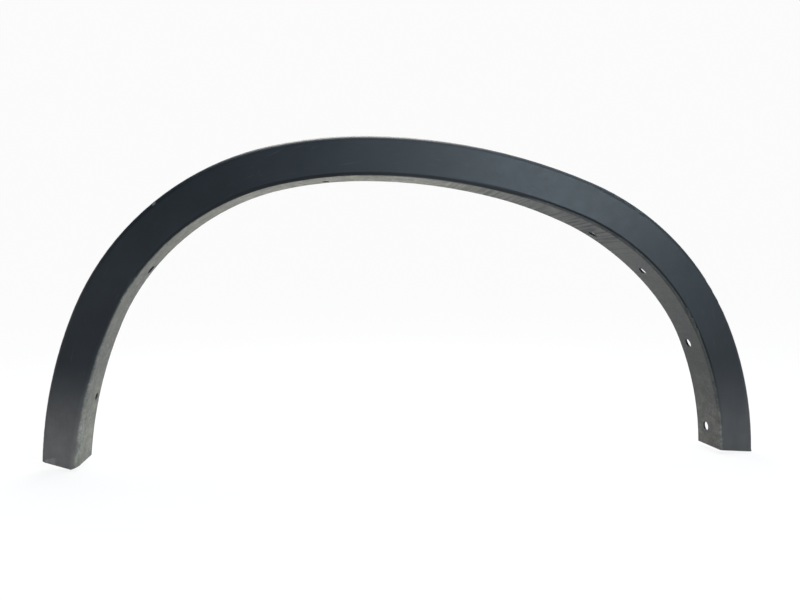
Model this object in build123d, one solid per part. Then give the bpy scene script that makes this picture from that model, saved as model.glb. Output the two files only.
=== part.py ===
"""Wheel arch trim: one moulded strip that follows the wheel opening of a car body.

The strip has a slanted outer face, a rounded crease at the wheel opening, a lip that runs back
into the wheel house and a return flange that meets the body panel. Sizes are in millimetres and
degrees. X runs along the car, minus Y looks out from the car and Z is up. The origin is on the
rear rim of the return flange at the crown of the arch.
"""

import os
from math import acos, cos, hypot, pi, radians, sin, tan

from build123d import *

# Outline of the crease, as tangent arcs from the crown down each side
left_crown_radius = 491.0
left_crown_turn = 12.5
left_shoulder_radius = 283.0
left_shoulder_turn = 54.0
left_leg_radius = 519.0
right_crown_radius = 687.0
right_crown_turn = 22.2
right_shoulder_radius = 287.0
right_shoulder_turn = 44.4
right_leg_radius = 378.0
left_arch_height = 349.3
right_arch_height = 344.2

# Cross section
wall = 2.6
face_width = 47.2
face_slant = 9.0
flange_depth = 9.0
lip_depth = 57.0
lip_lean = 4.0
crease_radius = 3.6
edge_radius = 7.0

# The lip is deeper round both shoulders; the left leg narrows and its crease softens
right_shoulder_extra = 16.0
right_shoulder_middle = 330.0
right_shoulder_half = 155.0
left_shoulder_extra = 5.5
left_shoulder_middle = -225.0
left_shoulder_half = 143.0
left_end_narrowing = 4.6
left_end_crease_radius = 8.0

# Lower ends, each cut on a plane that slopes along the car and tilts towards the body.
# At the left end a second plane lifts the lip; it starts on the face a little before the crease
left_end_slope = 12.5
left_end_tilt = 6.8
left_lip_end_start = 7.0
left_lip_end_slope = -18.0
left_lip_end_tilt = 1.0
right_end_slope = 5.7
right_end_tilt = -0.5
end_wall = 2.4

# Holes in the lip: distance along the crease from the crown, right is plus, and from the lip's edge
clip_holes = ((303.5, 20.0), (383.5, 28.0), (496.5, 21.0), (610.0, 20.5), (-300.0, 15.0))
clip_hole_diameter = 12.0
screw_holes = ((-52.0, 12.0), (-471.0, 13.0))
screw_hole_diameter = 9.0

# Gussets and clip seats on the hidden side
rib_thickness = 1.8
gusset_count = 12
gusset_reach = 15.0
clip_seat_count = 6
seat_length = 20.0
seat_width = 24.0
seat_plate = 2.4
seat_setback = 1.0
slot_width = 7.0

# Values that follow from the sizes above
body_depth = face_slant + flange_depth
crease_y = -body_depth
rim_middle = face_width - wall / 2
crown_z = -rim_middle
lean = tan(radians(lip_lean))
rough_lip_depth = lip_depth + max(right_shoulder_extra, left_shoulder_extra) + wall
leg_sections = 3
trim_points = 8
run_past_end = 20.0
left_arcs = (
    (left_crown_radius, radians(left_crown_turn)),
    (left_shoulder_radius, radians(left_shoulder_turn)),
)
right_arcs = (
    (right_crown_radius, radians(right_crown_turn)),
    (right_shoulder_radius, radians(right_shoulder_turn)),
)


def side_arcs(side):
    """Crown and shoulder arcs, leg radius and height of one side; side is 1 right, -1 left."""
    if side > 0:
        return right_arcs, right_leg_radius, right_arch_height
    return left_arcs, left_leg_radius, left_arch_height


def crease_at(distance):
    """Point on the crease line and the outward direction there."""
    side = 1 if distance >= 0 else -1
    arcs, leg_radius, height = side_arcs(side)
    x, z, turn = 0.0, crown_z, 0.0
    remaining = abs(distance)
    for radius, angle in arcs + ((leg_radius, pi),):
        step = min(remaining / radius, angle)
        x += side * radius * (sin(turn + step) - sin(turn))
        z += radius * (cos(turn + step) - cos(turn))
        turn += step
        remaining -= radius * step
        if remaining <= 1e-9:
            break
    return Vector(x, 0, z), Vector(side * sin(turn), 0, cos(turn))


def end_distance(side):
    """Distance along the crease from the crown to the lower end of one side."""
    arcs, leg_radius, height = side_arcs(side)
    above_leg = sum(radius * angle for radius, angle in arcs)
    leg_turn = sum(angle for radius, angle in arcs)
    leg_top = crease_at(side * above_leg)[0].Z
    end_turn = acos(cos(leg_turn) + (crown_z - height - leg_top) / leg_radius)
    return above_leg + leg_radius * (end_turn - leg_turn)


right_end = end_distance(1)
left_end = end_distance(-1)


def along_at(distance):
    """Direction along the strip, towards the right of the car's arch."""
    return Vector(0, 1, 0).cross(crease_at(distance)[1])


def deep_stretch(side):
    """Middle, half length and extra depth of the lip's deeper stretch on one side."""
    if side > 0:
        return right_shoulder_middle, right_shoulder_half, right_shoulder_extra
    return left_shoulder_middle, left_shoulder_half, left_shoulder_extra


def lip_depth_beside(side, run):
    """Depth of the lip at a straight run from the middle of the deeper stretch."""
    middle, half, extra = deep_stretch(side)
    return lip_depth + extra * cos(min(abs(run) / half, 1) * pi / 2) ** 2


def lip_depth_at(distance):
    """Depth of the lip behind the crease."""
    side = 1 if distance >= 0 else -1
    middle = deep_stretch(side)[0]
    run = (crease_at(distance)[0] - crease_at(middle)[0]).dot(along_at(middle))
    return lip_depth_beside(side, run)


def down_left_leg(distance):
    """Share of the way down the left leg: 0 above it, 1 at its end."""
    leg_start = sum(radius * angle for radius, angle in left_arcs)
    return max((-distance - leg_start) / (left_end - leg_start), 0)


def face_width_at(distance):
    """Width of the face outwards from the crease."""
    return face_width - left_end_narrowing * down_left_leg(distance) ** 1.5


def crease_radius_at(distance):
    """Radius of the crease on its seen side."""
    return crease_radius + (left_end_crease_radius - crease_radius) * down_left_leg(distance)


def face_back_at(distance, outward, share):
    """Depth of a layer of the face: share 0 is the seen side, 1 the hidden side."""
    width = face_width_at(distance)
    return face_slant / width * outward + share * wall * hypot(width, face_slant) / width


def lip_layer_at(depth, share):
    """Outward place of a layer of the lip: share 0 is the seen side, 1 the hidden side."""
    return share * wall / cos(radians(lip_lean)) - lean * depth


def crease_corner(distance, share):
    """Corner of a layer of the section at the crease, as outward and depth."""
    start = face_back_at(distance, 0, share)
    outward = lip_layer_at(start, share) / (1 + lean * face_slant / face_width_at(distance))
    return outward, face_back_at(distance, outward, share)


def place_on(distance):
    """Function that puts a section point, outward and depth, into the part's frame."""
    point, outward = crease_at(distance)
    return lambda spot: point + outward * spot[0] + Vector(0, crease_y + spot[1], 0)


def rounded_outline(corners, place):
    """Closed wire through corners given as (point, radius)."""
    spots = []
    count = len(corners)
    for i, (corner, radius) in enumerate(corners):
        before = corners[i - 1][0]
        after = corners[(i + 1) % count][0]
        corner = Vector(*corner)
        to_before = (Vector(*before) - corner).normalized()
        to_after = (Vector(*after) - corner).normalized()
        if radius == 0:
            spots.append((corner, None, corner))
            continue
        half = radians(to_before.get_angle(to_after)) / 2
        middle = (to_before + to_after).normalized()
        centre = corner + middle * (radius / sin(half))
        run = radius / tan(half)
        spots.append((corner + to_before * run, centre - middle * radius, corner + to_after * run))
    edges = []
    for i, (start, mid, finish) in enumerate(spots):
        if mid is not None:
            edges.append(Edge.make_three_point_arc(*(place((p.X, p.Y)) for p in (start, mid, finish))))
        following = spots[(i + 1) % count][0]
        edges.append(Edge.make_line(place((finish.X, finish.Y)), place((following.X, following.Y))))
    return Wire(edges)


def section(distance):
    """Wire of the wall's cross section, with the lip left long for its trim."""
    width = face_width_at(distance)
    depth = rough_lip_depth
    radius = crease_radius_at(distance)
    corners = [
        ((lip_layer_at(depth, 0), depth), 0),
        (crease_corner(distance, 0), radius),
        ((width, face_slant), edge_radius),
        ((width, body_depth), 0),
        ((width - wall, body_depth), 0),
        ((width - wall, face_back_at(distance, width - wall, 1)), edge_radius - wall),
        (crease_corner(distance, 1), radius - wall),
        ((lip_layer_at(depth, 1), depth), 0),
    ]
    return rounded_outline(corners, place_on(distance))


def side_runs(side):
    """Arcs of one side as (start, length, radius) along the crease, the leg run past its end."""
    arcs, leg_radius, height = side_arcs(side)
    runs = []
    start = 0.0
    for radius, angle in arcs:
        runs.append((start, radius * angle, radius))
        start += radius * angle
    runs.append((start, end_distance(side) + run_past_end - start, leg_radius))
    return runs


def turned_run(side, start, length, radius):
    """Stretch of the strip along one arc: the section turned about the arc's middle."""
    point, outward = crease_at(side * start)
    axis = Axis(point - outward * radius, (0, side, 0))
    return revolve(Face(section(side * start)), axis, length / radius * 180 / pi)


def narrowing_run(start, length):
    """Left leg of the strip, drawn through sections that narrow towards its end."""
    places = [-start - length * i / leg_sections for i in range(leg_sections + 1)]
    return Solid.make_loft([section(place) for place in places])


def lip_trim(side):
    """Cutter for all that is behind the back edge of the lip on one side."""
    middle, half, extra = deep_stretch(side)
    point, outward = crease_at(middle)
    base = Plane(origin=point + Vector(0, crease_y, 0), x_dir=along_at(middle), z_dir=outward)
    far = right_end + left_end
    runs = [half * (2 * i / trim_points - 1) for i in range(trim_points + 1)]
    hump = Edge.make_spline(
        [Vector(run, lip_depth_beside(side, run), 0) for run in runs],
        tangents=[Vector(1, 0, 0), Vector(1, 0, 0)],
    )
    rest = Wire.make_polygon(
        [
            Vector(half, lip_depth, 0),
            Vector(far, lip_depth, 0),
            Vector(far, 2 * rough_lip_depth, 0),
            Vector(-far, 2 * rough_lip_depth, 0),
            Vector(-far, lip_depth, 0),
            Vector(-half, lip_depth, 0),
        ],
        close=False,
    )
    return extrude(base * Face(Wire([hump] + rest.edges())), amount=far, dir=outward, both=True)


def side_strip(side):
    """Plain strip of one side from the crown past its lower end, with the lip trimmed."""
    runs = side_runs(side)
    pieces = [turned_run(side, *run) for run in runs[:-1]]
    start, length, radius = runs[-1]
    if side > 0:
        pieces.append(turned_run(side, start, length, radius))
    else:
        pieces.append(narrowing_run(start, length))
    return Part() + pieces - lip_trim(side)


def across(distance, corners, thickness, shift=0.0):
    """Flat plate that stands across the strip, with corners as (outward, depth)."""
    along = along_at(distance)
    outline = rounded_outline([(corner, 0) for corner in corners], place_on(distance))
    plate = extrude(Face(outline), amount=thickness / 2, dir=along, both=True)
    return Pos(along * shift) * plate


def across_hollow(distance, corners, thickness):
    """Flat plate across the hollow behind the face, its first corner rounded inside the crease."""
    first = (crease_corner(distance, 0.5), crease_radius_at(distance) - wall / 2)
    outline = rounded_outline([first] + [(corner, 0) for corner in corners], place_on(distance))
    return extrude(Face(outline), amount=thickness / 2, dir=along_at(distance), both=True)


def gusset(distance):
    """Three-cornered stiffener between the back of the face and the lip."""
    return across_hollow(
        distance,
        [
            (gusset_reach, face_back_at(distance, gusset_reach, 0.5)),
            (gusset_reach, face_back_at(distance, gusset_reach, 1) + rib_thickness),
            (lip_layer_at(body_depth, 1), body_depth),
            (lip_layer_at(body_depth, 0.5), body_depth),
        ],
        rib_thickness,
    )


def clip_seat(distance):
    """Raised seat for a push-in clip: two side walls and a plate with an open slot."""
    middle = (face_width_at(distance) - wall + gusset_reach) / 2
    low = middle - seat_length / 2
    high = middle + seat_length / 2
    top = body_depth - seat_setback
    wall_corners = [
        (low, face_back_at(distance, low, 0.5)),
        (high, face_back_at(distance, high, 0.5)),
        (high, top),
        (low, top),
    ]
    plate_corners = [(low, top - seat_plate), (high, top - seat_plate), (high, top), (low, top)]
    side = (seat_width - rib_thickness) / 2
    seat = across(distance, plate_corners, seat_width)
    slot_corners = [
        (low - 1, top - seat_plate - 1),
        (middle, top - seat_plate - 1),
        (middle, top + 1),
        (low - 1, top + 1),
    ]
    seat -= across(distance, slot_corners, slot_width)
    base = Plane(
        origin=place_on(distance)((middle, top - seat_plate / 2)),
        x_dir=crease_at(distance)[1],
        z_dir=(0, 1, 0),
    )
    seat -= base * Cylinder(slot_width / 2, seat_plate + 2)
    seat += across(distance, wall_corners, rib_thickness, side)
    seat += across(distance, wall_corners, rib_thickness, -side)
    return seat


def lip_hole(distance, to_edge, diameter):
    """Cutter for a round hole square through the lip."""
    depth = lip_depth_at(distance) - to_edge
    outward = crease_at(distance)[1]
    base = Plane(
        origin=place_on(distance)((lip_layer_at(depth, 0.5), depth)),
        x_dir=along_at(distance),
        z_dir=outward * cos(radians(lip_lean)) + Vector(0, sin(radians(lip_lean)), 0),
    )
    return base * Cylinder(diameter / 2, 4 * wall)


def end_cuts(side):
    """Places of the sloping cuts at one lower end: the own Z of each looks up out of the cut."""
    end = right_end if side > 0 else left_end
    point = crease_at(side * end)[0]
    corner = Pos(point.X, crease_y, point.Z)
    if side > 0:
        return [corner * Rot(right_end_tilt, right_end_slope, 0)]
    lip_start = Pos(-left_lip_end_start, 0, left_lip_end_start * tan(radians(left_end_slope)))
    return [
        corner * Rot(left_end_tilt, left_end_slope, 0),
        corner * lip_start * Rot(left_lip_end_tilt, left_lip_end_slope, 0),
    ]


def end_closure(side):
    """Thin walls that close the hollow behind the face at one lower end."""
    end = right_end if side > 0 else left_end
    distance = side * (end - run_past_end / 4)
    width = face_width_at(distance)
    filler = across_hollow(
        distance,
        [
            (width - wall / 2, face_back_at(distance, width - wall / 2, 0.5)),
            (width - wall / 2, body_depth),
            (lip_layer_at(body_depth, 0.5), body_depth),
        ],
        2 * run_past_end,
    )
    slab = Pos(0, 0, end_wall / 2) * Box(4 * face_width, 4 * lip_depth, end_wall)
    return [filler & cut * slab for cut in end_cuts(side)]


def spread(count):
    """Even places between the two ends, half a step in from each."""
    step = (left_end + right_end) / count
    return [-left_end + step * (i + 0.5) for i in range(count)]


trim = side_strip(1) + side_strip(-1)
stiffeners = [gusset(distance) for distance in spread(gusset_count)]
seats = [clip_seat(distance) for distance in spread(clip_seat_count)]
trim += stiffeners + seats + end_closure(1) + end_closure(-1)
cutters = [lip_hole(distance, to_edge, clip_hole_diameter) for distance, to_edge in clip_holes]
cutters += [lip_hole(distance, to_edge, screw_hole_diameter) for distance, to_edge in screw_holes]
below = 4 * run_past_end
waste = Pos(0, 0, -below / 2) * Box(6 * face_width, 6 * lip_depth, below)
cutters += [cut * waste for cut in end_cuts(1) + end_cuts(-1)]
trim -= cutters

os.makedirs("parts", exist_ok=True)
export_step(trim, "parts/arch_trim.step")
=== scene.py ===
"""Studio scene of a moulded wheel arch trim, seen from the front and a little from the left."""

from math import cos, pi, sin

import bpy
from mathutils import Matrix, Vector


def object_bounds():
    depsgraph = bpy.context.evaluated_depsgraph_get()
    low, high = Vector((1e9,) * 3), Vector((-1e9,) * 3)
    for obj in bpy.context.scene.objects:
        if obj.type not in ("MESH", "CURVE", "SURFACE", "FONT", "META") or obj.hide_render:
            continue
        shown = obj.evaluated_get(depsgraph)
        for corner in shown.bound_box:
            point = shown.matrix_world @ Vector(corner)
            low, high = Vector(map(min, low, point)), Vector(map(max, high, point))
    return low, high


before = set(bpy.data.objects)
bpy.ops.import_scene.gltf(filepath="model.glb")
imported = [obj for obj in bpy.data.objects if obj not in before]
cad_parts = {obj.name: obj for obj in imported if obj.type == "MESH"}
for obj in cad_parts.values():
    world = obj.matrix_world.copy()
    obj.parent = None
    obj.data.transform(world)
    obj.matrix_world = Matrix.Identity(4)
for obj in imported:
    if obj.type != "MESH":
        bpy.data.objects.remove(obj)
cad_low, cad_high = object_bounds()

# Camera, from the photograph's perspective
CAMERA_PLACE = Vector((-0.0808, -1.0954, -0.1252))
CAMERA_TARGET = Vector((0.0358, -0.018, -0.1959))
FOCAL_PIXELS = 900.0
IMAGE_WIDTH = 800.0
SENSOR_WIDTH = 36.0
VIEW_REACH = 50.0

# Middle of the wheel opening, which the lip's seen side faces, and what flattens a vector to the arch
OPENING_MIDDLE = (0.02, 0.0, -0.33)
ARCH_PLANE = (1.0, 0.0, 1.0)

# A pair gives the value at which something starts and the value at which it is full.
# Its unit is metres in the frame, a noise value, or a turn: how far a surface looks towards the
# opening, which is about -0.2 on the face and 1 on the lip.

# Where the lip's dust starts: depth under the crown, what both sides add, and the turn of the surface
DUST_START_CROWN = -0.0120
DUST_START_RIGHT = -0.0078
DUST_START_LEFT = -0.0054
DUST_RIGHT_X = (0.10, 0.24)
DUST_LEFT_X = (0.0, -0.30)
DUST_EDGE_DEPTH = (0.0, 0.003)
DUST_EDGE_TURN = (0.05, 0.45)
DUST_LEFT_TURN = 0.25
DUST_LEFT_RAGGED = 0.4
NOISE_MIDDLE = 0.5

# How thick the dust lies on the lip, and what it loses to the right, to the left and at the left tip. The
# loss on the shoulders is partly real dust and partly painted shade for the lip's less lit sides.
DUST_AT_CROWN = 0.95
DUST_AT_ENDS = 0.32
DUST_LOSS_AND_SHADE_RIGHT = 0.79
DUST_LOSS_AND_SHADE_LEFT = 0.38
DUST_LOST_TIP = 0.15
THIN_RIGHT_X = (0.03, 0.27)
THIN_LEFT_X = (-0.13, -0.30)
THIN_TIP_Z = (-0.368, -0.386)

# Patches in the dust
PATCH_BASE = 0.27
PATCH_STREAK = 0.38
PATCH_MOTTLE = 0.50
PATCH_STEP = (0.3, 0.7)
SPECK_STEP = (0.36, 0.64)
WARM_STEP = (0.48, 0.66)
WARM_SHARE = 0.6

# Strokes of a wipe across the lip, most of them between crown and right shoulder
STROKES_BEGIN_X = (0.06, 0.16)
STROKES_END_X = (0.34, 0.28)
STROKES_DEPTH = (-0.0155, -0.0120)
STROKES_STEP = (0.53, 0.45)
STROKES_THERE = 0.50
STROKES_ELSEWHERE = 0.07
STROKES_DULL = 0.22

# Painted shade: a dark line along the crease, and how much of it is left away from the right shoulder
CREASE_DEPTH = (-0.01695, -0.0172)
CREASE_TURN = (-0.13, 0.02)
CREASE_RIGHT_X = (0.08, 0.26)
CREASE_CROWN_X = (-0.05, 0.05)
CREASE_LEG_X = (-0.33, -0.24)
CREASE_AT_LEFT = 0.85
CREASE_AT_CROWN = 0.2
CREASE_SHADE_SHARE = 0.9
CREASE_DULL = 0.42

# Painted light: the face is painted a lighter grey towards the lower ends, more at the left end
LOWER_END_Z = (-0.262, -0.392)
LOWER_END_SIDES_X = (-0.1, 0.1)
LIGHT_AT_LEFT_END = 0.47
LIGHT_AT_RIGHT_END = 0.18

# Worn places, each a middle and a size: a nick in the outer edge and two rubbed spots at the left end
NICK = ((-0.2546, -0.0080, -0.0806), 0.0042)
NICK_SHARE = 0.5
RUBBED = (((-0.3819, -0.0104, -0.3842), 0.0050), ((-0.3747, -0.0119, -0.3837), 0.0065))
RUBBED_SHARE = 0.35
WORN_RAGGED = 1.3
WORN_EDGE = (0.95, 1.45)
WORN_DEPTH = 2.0

# Haze and scratches in the plastic
HAZE_STEP = (0.35, 0.7)
SCRATCH_STEP = (0.66, 0.74)
SCRATCH_SHARE = 0.35

# Noise over the surface: scale, detail, roughness
HAZE_NOISE = (9.0, 4.0, 0.55)
TONE_NOISE = (28.0, 2.0, 0.55)
MOTTLE_NOISE = (75.0, 5.0, 0.68)
SPECK_NOISE = (330.0, 3.0, 0.70)
WORN_NOISE = (420.0, 3.0, 0.55)

# Noise that follows the strip
STREAK_NOISE = {"Lengthwise": 3.0, "Crosswise": 90.0}
SCRATCH_NOISE = {"Lengthwise": 9.0, "Crosswise": 700.0, "Detail": 2.0}
STROKE_NOISE = {"Lengthwise": 85.0, "Crosswise": 6.0, "Roughness": 0.6}

# Colours of the plastic, of the painted crease shade, of the dust and of the painted light at the lower
# ends
PLASTIC_DARK = (0.0034, 0.0060, 0.0092, 1)
PLASTIC_HAZE = (0.0070, 0.0106, 0.0145, 1)
PLASTIC_SCRATCH = (0.036, 0.038, 0.040, 1)
CREASE_PAINTED_SHADE = (0.0030, 0.0042, 0.0054, 1)
PLASTIC_BARE = (0.22, 0.22, 0.21, 1)
DUST_DARK = (0.211, 0.199, 0.174, 1)
DUST_PALE = (0.350, 0.331, 0.287, 1)
DUST_WARM = (0.302, 0.284, 0.212, 1)
LOWER_END_LIGHT_GREY = (0.300, 0.262, 0.246, 1)

# Gloss and grain of the plastic
ROUGH_BASE = 0.40
ROUGH_MOTTLE = 0.14
ROUGH_DUST = 0.35
SPECULAR_LEVEL = 0.29
PEBBLE_SCALE = 950.0
PEBBLE_SMOOTHNESS = 0.6
GRIT_SHARE = 0.8
GRAIN_STRENGTH = 0.35
GRAIN_HEIGHT = 0.00012

# Stage: how far off it turns from shaded to plain white, and its rings as reach and rise
FLOOR_LEVEL = cad_low[2] - 0.001
STAGE_GREY = (0.8, 0.8, 0.8, 1)
STAGE_WHITE = (0.985, 0.985, 0.985, 1)
STAGE_PLAIN_REACH = (0.7, 1.7)
STAGE_PLAIN_NEAR = 0.88
STAGE_PLAIN_FAR = 0.98
STAGE_RINGS = ((30.0, 0.0), (33.0, 1.0), (34.0, 13.0))
STAGE_SIDES = 48

# Lamps: name, place, target, size, power, colour
LAMPS = (
    ("key_lamp", (1.25, -1.9, 1.1), (0.15, 0.0, -0.1), 1.1, 65.0, (0.76, 0.91, 1.0)),
    ("floor_lamp", (0.0, 0.75, 1.15), (0.0, 0.05, -0.4), 1.0, 33.0, (1.0, 0.98, 0.95)),
    ("top_lamp", (0.05, -0.05, 1.7), (0.05, 0.0, 0.0), 1.4, 15.0, (0.85, 0.94, 1.0)),
    ("rim_lamp", (1.57, 0.44, 1.53), (0.25, 0.0, -0.05), 1.3, 15.0, (0.80, 0.92, 1.0)),
)
SKY_COLOUR = (0.80, 0.92, 1.0, 1)
SKY_STRENGTH = 0.198

# Colour sockets of a Mix node, and the vector operations that put out a number
MIX_FIRST, MIX_SECOND, MIX_RESULT = 6, 7, 2
NUMBER_OPERATIONS = ("DOT_PRODUCT", "LENGTH", "DISTANCE")


def node(tree, kind, values=None, **settings):
    """New node with its settings and unlinked input values."""
    made = tree.nodes.new(kind)
    for key, value in settings.items():
        setattr(made, key, value)
    for key, value in (values or {}).items():
        made.inputs[key].default_value = value
    return made


def feed(tree, socket, value):
    """Gives an input socket a plain value or a link."""
    if isinstance(value, bpy.types.NodeSocket):
        tree.links.new(value, socket)
    else:
        socket.default_value = value


def calc(tree, operation, first, second, clamp=False):
    """Math node; each side is a socket or a number."""
    made = node(tree, "ShaderNodeMath", operation=operation, use_clamp=clamp)
    feed(tree, made.inputs[0], first)
    feed(tree, made.inputs[1], second)
    return made.outputs[0]


def plus(tree, first, second, clamp=False):
    """Sum of two values."""
    return calc(tree, "ADD", first, second, clamp)


def minus(tree, first, second):
    """First value less the second."""
    return calc(tree, "SUBTRACT", first, second)


def times(tree, first, second, clamp=False):
    """Product of two values."""
    return calc(tree, "MULTIPLY", first, second, clamp)


def larger(tree, first, second):
    """The larger of two values."""
    return calc(tree, "MAXIMUM", first, second)


def calc_vector(tree, operation, first, second=(0.0, 0.0, 0.0)):
    """Vector math node; each side is a socket or a triple."""
    made = node(tree, "ShaderNodeVectorMath", operation=operation)
    feed(tree, made.inputs[0], first)
    feed(tree, made.inputs[1], second)
    return made.outputs["Value" if operation in NUMBER_OPERATIONS else "Vector"]


def smooth_step(tree, value, start, full):
    """Value eased from 0 at start to 1 at full."""
    limits = {"From Min": start, "From Max": full}
    made = node(tree, "ShaderNodeMapRange", limits, interpolation_type="SMOOTHSTEP")
    tree.links.new(value, made.inputs["Value"])
    return made.outputs["Result"]


def ramp(tree, value, limits, first, last):
    """Value that goes evenly from first to last between two limits."""
    made = node(tree, "ShaderNodeMapRange", {"From Min": limits[0], "From Max": limits[1]})
    made.inputs["To Min"].default_value = first
    made.inputs["To Max"].default_value = last
    tree.links.new(value, made.inputs["Value"])
    return made.outputs["Result"]


def noise(tree, place, scale, detail, roughness):
    """Noise value over the surface."""
    values = {"Scale": scale, "Detail": detail, "Roughness": roughness}
    made = node(tree, "ShaderNodeTexNoise", values)
    tree.links.new(place, made.inputs["Vector"])
    return made.outputs["Fac"]


def mix_colour(tree, factor, first, second):
    """Colour mix; each colour is a socket or a tuple."""
    made = node(tree, "ShaderNodeMix", data_type="RGBA")
    feed(tree, made.inputs["Factor"], factor)
    feed(tree, made.inputs[MIX_FIRST], first)
    feed(tree, made.inputs[MIX_SECOND], second)
    return made.outputs[MIX_RESULT]


def new_group(name, inputs, output):
    """Empty shader node group with named inputs, as (name, kind, default), and one number as output."""
    group = bpy.data.node_groups.new(name, "ShaderNodeTree")
    for label, kind, default in inputs:
        socket = group.interface.new_socket(label, in_out="INPUT", socket_type=kind)
        socket.default_value = default
    group.interface.new_socket(output, in_out="OUTPUT", socket_type="NodeSocketFloat")
    return group, group.nodes.new("NodeGroupInput"), group.nodes.new("NodeGroupOutput")


def use_group(tree, group, **inputs):
    """Group node with its inputs given by name; returns its output."""
    made = node(tree, "ShaderNodeGroup", node_tree=group)
    for key, value in inputs.items():
        feed(tree, made.inputs[key], value)
    return made.outputs[0]


def strip_noise_group():
    """Noise that is stretched along or across the strip, so that streaks and scratches follow the arch."""
    group, given, result = new_group(
        "strip_noise",
        [
            ("Place", "NodeSocketVector", (0.0, 0.0, 0.0)),
            ("Lengthwise", "NodeSocketFloat", 1.0),
            ("Crosswise", "NodeSocketFloat", 20.0),
            ("Detail", "NodeSocketFloat", 3.0),
            ("Roughness", "NodeSocketFloat", 0.55),
        ],
        "Value",
    )
    crosswise = given.outputs["Crosswise"]
    away = calc_vector(group, "SUBTRACT", given.outputs["Place"], OPENING_MIDDLE)
    parts = node(group, "ShaderNodeSeparateXYZ")
    group.links.new(away, parts.inputs[0])
    turn = calc(group, "ARCTAN2", parts.outputs["X"], parts.outputs["Z"])
    reach = calc_vector(group, "LENGTH", calc_vector(group, "MULTIPLY", away, ARCH_PLANE))
    joined = node(group, "ShaderNodeCombineXYZ")
    group.links.new(times(group, turn, given.outputs["Lengthwise"]), joined.inputs["X"])
    group.links.new(times(group, parts.outputs["Y"], crosswise), joined.inputs["Y"])
    group.links.new(times(group, reach, crosswise), joined.inputs["Z"])
    made = node(group, "ShaderNodeTexNoise", {"Scale": 1.0})
    group.links.new(joined.outputs[0], made.inputs["Vector"])
    group.links.new(given.outputs["Detail"], made.inputs["Detail"])
    group.links.new(given.outputs["Roughness"], made.inputs["Roughness"])
    group.links.new(made.outputs["Fac"], result.inputs["Value"])
    return group


def worn_spot_group():
    """Mask of a small chipped or rubbed place with a ragged edge."""
    group, given, result = new_group(
        "worn_spot",
        [
            ("Place", "NodeSocketVector", (0.0, 0.0, 0.0)),
            ("Middle", "NodeSocketVector", (0.0, 0.0, 0.0)),
            ("Size", "NodeSocketFloat", 0.004),
        ],
        "Mask",
    )
    place = given.outputs["Place"]
    gap = calc_vector(group, "DISTANCE", place, given.outputs["Middle"])
    ragged = times(group, noise(group, place, *WORN_NOISE), WORN_RAGGED)
    edge = plus(group, calc(group, "DIVIDE", gap, given.outputs["Size"]), ragged)
    mask = minus(group, 1.0, smooth_step(group, edge, *WORN_EDGE))
    group.links.new(mask, result.inputs["Mask"])
    return group


def facing_opening(tree, place):
    """How far a surface looks towards the middle of the wheel opening: 1 straight at it, -1 away."""
    away = calc_vector(tree, "SUBTRACT", OPENING_MIDDLE, place)
    inward = calc_vector(tree, "NORMALIZE", calc_vector(tree, "MULTIPLY", away, ARCH_PLANE))
    normal = node(tree, "ShaderNodeNewGeometry").outputs["Normal"]
    return calc_vector(tree, "DOT_PRODUCT", inward, normal)


def lip_mask(tree, facing, spot, mottle):
    """Mask of the lip's dusty side: from the crease on the right, further behind and ragged elsewhere."""
    right = smooth_step(tree, spot.outputs["X"], *DUST_RIGHT_X)
    left = smooth_step(tree, spot.outputs["X"], *DUST_LEFT_X)
    sides = plus(tree, times(tree, right, DUST_START_RIGHT), times(tree, left, DUST_START_LEFT))
    start = plus(tree, sides, DUST_START_CROWN)
    behind = smooth_step(tree, minus(tree, spot.outputs["Y"], start), *DUST_EDGE_DEPTH)
    ragged = times(tree, minus(tree, mottle, NOISE_MIDDLE), DUST_LEFT_RAGGED)
    moved = times(tree, left, minus(tree, DUST_LEFT_TURN, ragged))
    turned = smooth_step(tree, minus(tree, facing, moved), *DUST_EDGE_TURN)
    return times(tree, turned, behind)


def crease_shade_mask(tree, facing, lip, spot, low_end):
    """Mask of the painted shade line along the crease: full on the right shoulder, weak under the crown.
    """
    front = smooth_step(tree, spot.outputs["Y"], *CREASE_DEPTH)
    right = times(tree, front, smooth_step(tree, spot.outputs["X"], *CREASE_RIGHT_X))
    share = ramp(tree, spot.outputs["X"], CREASE_CROWN_X, CREASE_AT_LEFT, CREASE_AT_CROWN)
    kept = times(tree, share, smooth_step(tree, spot.outputs["X"], *CREASE_LEG_X))
    bent = times(tree, smooth_step(tree, facing, *CREASE_TURN), kept)
    clear = times(tree, minus(tree, 1.0, lip), minus(tree, 1.0, low_end))
    return times(tree, larger(tree, right, bent), clear)


def dust_and_shade_thickness(tree, spot, low_end):
    """Thickness of the lip's dust: full under the crown, thin on the shoulders, which also paints shade on
    the lip's less lit sides, more at the ends.
    """
    right = smooth_step(tree, spot.outputs["X"], *THIN_RIGHT_X)
    left = smooth_step(tree, spot.outputs["X"], *THIN_LEFT_X)
    tip = times(tree, smooth_step(tree, spot.outputs["Z"], *THIN_TIP_Z), DUST_LOST_TIP)
    left_lost = times(tree, left, plus(tree, tip, DUST_LOSS_AND_SHADE_LEFT))
    lost = plus(tree, times(tree, right, DUST_LOSS_AND_SHADE_RIGHT), left_lost)
    return plus(tree, minus(tree, DUST_AT_CROWN, lost), times(tree, low_end, DUST_AT_ENDS))


def wiped_share(tree, spot):
    """How much dust a wiping stroke took off the lip: most between crown and right shoulder."""
    begun = smooth_step(tree, spot.outputs["X"], *STROKES_BEGIN_X)
    ended = smooth_step(tree, spot.outputs["X"], *STROKES_END_X)
    there = times(tree, times(tree, begun, ended), STROKES_THERE)
    share = plus(tree, there, STROKES_ELSEWHERE)
    return times(tree, share, smooth_step(tree, spot.outputs["Y"], *STROKES_DEPTH))


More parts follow.
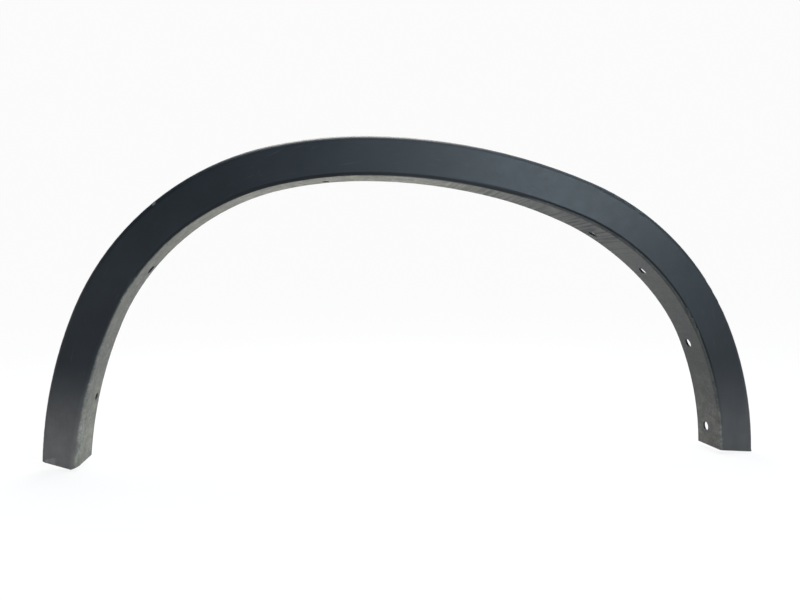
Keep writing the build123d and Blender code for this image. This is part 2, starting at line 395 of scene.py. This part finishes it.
def trim_plastic_material():
    """Dark grained plastic: clean on the face and dusty on the lip, with a painted shade line along the
    crease and painted light on the face towards the lower ends.
    """
    material = bpy.data.materials.new("trim_plastic")
    material.use_nodes = True
    tree = material.node_tree
    shader = tree.nodes["Principled BSDF"]
    place = node(tree, "ShaderNodeTexCoord").outputs["Object"]
    spot = node(tree, "ShaderNodeSeparateXYZ")
    tree.links.new(place, spot.inputs[0])

    strip = strip_noise_group()
    haze = noise(tree, place, *HAZE_NOISE)
    tone = noise(tree, place, *TONE_NOISE)
    mottle = noise(tree, place, *MOTTLE_NOISE)
    speck = noise(tree, place, *SPECK_NOISE)
    streak = use_group(tree, strip, Place=place, **STREAK_NOISE)
    scratch = use_group(tree, strip, Place=place, **SCRATCH_NOISE)
    stroke = use_group(tree, strip, Place=place, **STROKE_NOISE)

    # Masks of the lip, the painted shade along the crease and the lower ends
    low_end = smooth_step(tree, spot.outputs["Z"], *LOWER_END_Z)
    facing = facing_opening(tree, place)
    lip = lip_mask(tree, facing, spot, mottle)
    crease = crease_shade_mask(tree, facing, lip, spot, low_end)

    # Plastic
    plastic = mix_colour(tree, smooth_step(tree, haze, *HAZE_STEP), PLASTIC_DARK, PLASTIC_HAZE)
    scratched = times(tree, smooth_step(tree, scratch, *SCRATCH_STEP), SCRATCH_SHARE)
    plastic = mix_colour(tree, scratched, plastic, PLASTIC_SCRATCH)
    # Painted shade: the plastic is darkened along the crease
    plastic = mix_colour(tree, times(tree, crease, CREASE_SHADE_SHARE), plastic, CREASE_PAINTED_SHADE)

    # Share of dust on the lip and of the painted light at the lower ends
    base_patch = plus(tree, times(tree, streak, PATCH_STREAK), PATCH_BASE)
    mottled = times(tree, smooth_step(tree, mottle, *PATCH_STEP), PATCH_MOTTLE)
    wiped = times(tree, smooth_step(tree, stroke, *STROKES_STEP), wiped_share(tree, spot))
    patch_left = times(tree, plus(tree, base_patch, mottled), minus(tree, 1.0, wiped))
    thickness = times(tree, dust_and_shade_thickness(tree, spot, low_end), patch_left)
    lip_dust = times(tree, lip, thickness, clamp=True)
    even_patch = plus(tree, base_patch, times(tree, mottle, PATCH_MOTTLE))
    lower_end_light_side = ramp(tree, spot.outputs["X"], LOWER_END_SIDES_X, LIGHT_AT_LEFT_END, LIGHT_AT_RIGHT_END)
    lower_end_light = times(tree, times(tree, low_end, lower_end_light_side), even_patch, clamp=True)
    dust_share = larger(tree, lip_dust, lower_end_light)

    # Colour of the painted light at the lower ends and of the dust over the plastic
    dust = mix_colour(tree, smooth_step(tree, speck, *SPECK_STEP), DUST_DARK, DUST_PALE)
    warm = times(tree, smooth_step(tree, tone, *WARM_STEP), WARM_SHARE)
    dust = mix_colour(tree, warm, dust, DUST_WARM)
    # Painted light: lighter grey on the face at the lower ends, kept off the lip
    lower_end_light_face = times(tree, lower_end_light, minus(tree, 1.0, lip))
    colour = mix_colour(tree, lip_dust, mix_colour(tree, lower_end_light_face, plastic, LOWER_END_LIGHT_GREY), dust)

    # Worn places
    worn = worn_spot_group()
    nick = use_group(tree, worn, Place=place, Middle=NICK[0], Size=NICK[1])
    bare = times(tree, nick, NICK_SHARE)
    for middle, size in RUBBED:
        rubbed = use_group(tree, worn, Place=place, Middle=middle, Size=size)
        bare = larger(tree, bare, times(tree, rubbed, RUBBED_SHARE))
    tree.links.new(mix_colour(tree, bare, colour, PLASTIC_BARE), shader.inputs["Base Color"])

    # Gloss: dust, wiping strokes and the crease line are duller
    stroked = times(tree, times(tree, wiped, lip), STROKES_DULL)
    dull = larger(tree, stroked, times(tree, crease, CREASE_DULL))
    rough = plus(tree, times(tree, mottle, ROUGH_MOTTLE), times(tree, dust_share, ROUGH_DUST))
    rough = plus(tree, plus(tree, rough, dull), ROUGH_BASE, clamp=True)
    tree.links.new(rough, shader.inputs["Roughness"])
    shader.inputs["Specular IOR Level"].default_value = SPECULAR_LEVEL

    # Grain of the plastic, grit of the dust and depth of the worn places
    values = {"Scale": PEBBLE_SCALE, "Smoothness": PEBBLE_SMOOTHNESS}
    pebble = node(tree, "ShaderNodeTexVoronoi", values, feature="SMOOTH_F1")
    tree.links.new(place, pebble.inputs["Vector"])
    grit = times(tree, speck, times(tree, dust_share, GRIT_SHARE))
    height = plus(tree, pebble.outputs["Distance"], grit)
    height = minus(tree, height, times(tree, bare, WORN_DEPTH))
    bump = node(tree, "ShaderNodeBump", {"Strength": GRAIN_STRENGTH, "Distance": GRAIN_HEIGHT})
    tree.links.new(height, bump.inputs["Height"])
    tree.links.new(bump.outputs["Normal"], shader.inputs["Normal"])
    return material


def stage_white_material():
    """Pale stage that is seen as white; near the part it keeps its shading, and so the part's shadow."""
    material = bpy.data.materials.new("stage_white")
    material.use_nodes = True
    tree = material.node_tree
    tree.nodes.clear()
    output = node(tree, "ShaderNodeOutputMaterial")
    matt = node(tree, "ShaderNodeBsdfDiffuse", {"Color": STAGE_GREY})
    glow = node(tree, "ShaderNodeEmission", {"Color": STAGE_WHITE, "Strength": 1.0})
    rays = node(tree, "ShaderNodeLightPath")
    mirrored = larger(tree, rays.outputs["Is Glossy Ray"], rays.outputs["Is Transmission Ray"])
    seen = larger(tree, rays.outputs["Is Camera Ray"], mirrored)
    place = node(tree, "ShaderNodeTexCoord").outputs["Object"]
    reach = calc_vector(tree, "LENGTH", place)
    plain = ramp(tree, reach, STAGE_PLAIN_REACH, STAGE_PLAIN_NEAR, STAGE_PLAIN_FAR)
    blend = node(tree, "ShaderNodeMixShader")
    tree.links.new(times(tree, seen, plain), blend.inputs["Fac"])
    tree.links.new(matt.outputs[0], blend.inputs[1])
    tree.links.new(glow.outputs[0], blend.inputs[2])
    tree.links.new(blend.outputs[0], output.inputs["Surface"])
    return material


def stage_floor():
    """Wide floor with a wall far off all round, so that no edge shows from any side."""
    points = [(0.0, 0.0, FLOOR_LEVEL)]
    for reach, rise in STAGE_RINGS:
        for i in range(STAGE_SIDES):
            turn = 2 * pi * i / STAGE_SIDES
            points.append((reach * cos(turn), reach * sin(turn), FLOOR_LEVEL + rise))
    faces = [(0, 1 + i, 1 + (i + 1) % STAGE_SIDES) for i in range(STAGE_SIDES)]
    for ring in range(len(STAGE_RINGS) - 1):
        inner = 1 + ring * STAGE_SIDES
        outer = inner + STAGE_SIDES
        for i in range(STAGE_SIDES):
            after = (i + 1) % STAGE_SIDES
            faces.append((inner + i, outer + i, outer + after, inner + after))
    mesh = bpy.data.meshes.new("stage_floor")
    mesh.from_pydata(points, [], faces)
    mesh.shade_smooth()
    mesh.materials.append(stage_white_material())
    floor = bpy.data.objects.new("stage_floor", mesh)
    bpy.context.scene.collection.objects.link(floor)


def aim(thing, place, target):
    """Puts a lamp or camera at a place and points it at a target."""
    thing.location = place
    thing.rotation_euler = (Vector(target) - Vector(place)).to_track_quat("-Z", "Y").to_euler()
    bpy.context.scene.collection.objects.link(thing)


def studio_light():
    """Cool key from the front right, lamps above, behind and at the right, and a plain dim world."""
    for name, place, target, size, power, colour in LAMPS:
        lamp = bpy.data.lights.new(name, "AREA")
        lamp.shape = "SQUARE"
        lamp.size = size
        lamp.energy = power
        lamp.color = colour
        aim(bpy.data.objects.new(name, lamp), place, target)
    world = bpy.data.worlds.new("studio_world")
    world.use_nodes = True
    sky = world.node_tree.nodes["Background"]
    sky.inputs["Color"].default_value = SKY_COLOUR
    sky.inputs["Strength"].default_value = SKY_STRENGTH
    bpy.context.scene.world = world


def photo_camera():
    """Camera at the photograph's viewing angle."""
    data = bpy.data.cameras.new("photo_camera")
    data.sensor_width = SENSOR_WIDTH
    data.lens = FOCAL_PIXELS / IMAGE_WIDTH * SENSOR_WIDTH
    data.clip_end = VIEW_REACH
    camera = bpy.data.objects.new("photo_camera", data)
    aim(camera, CAMERA_PLACE, CAMERA_TARGET)
    bpy.context.scene.camera = camera


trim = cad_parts["arch_trim"]
trim.data.materials.clear()
trim.data.materials.append(trim_plastic_material())
stage_floor()
studio_light()
photo_camera()
bpy.context.scene.view_settings.view_transform = "Standard"
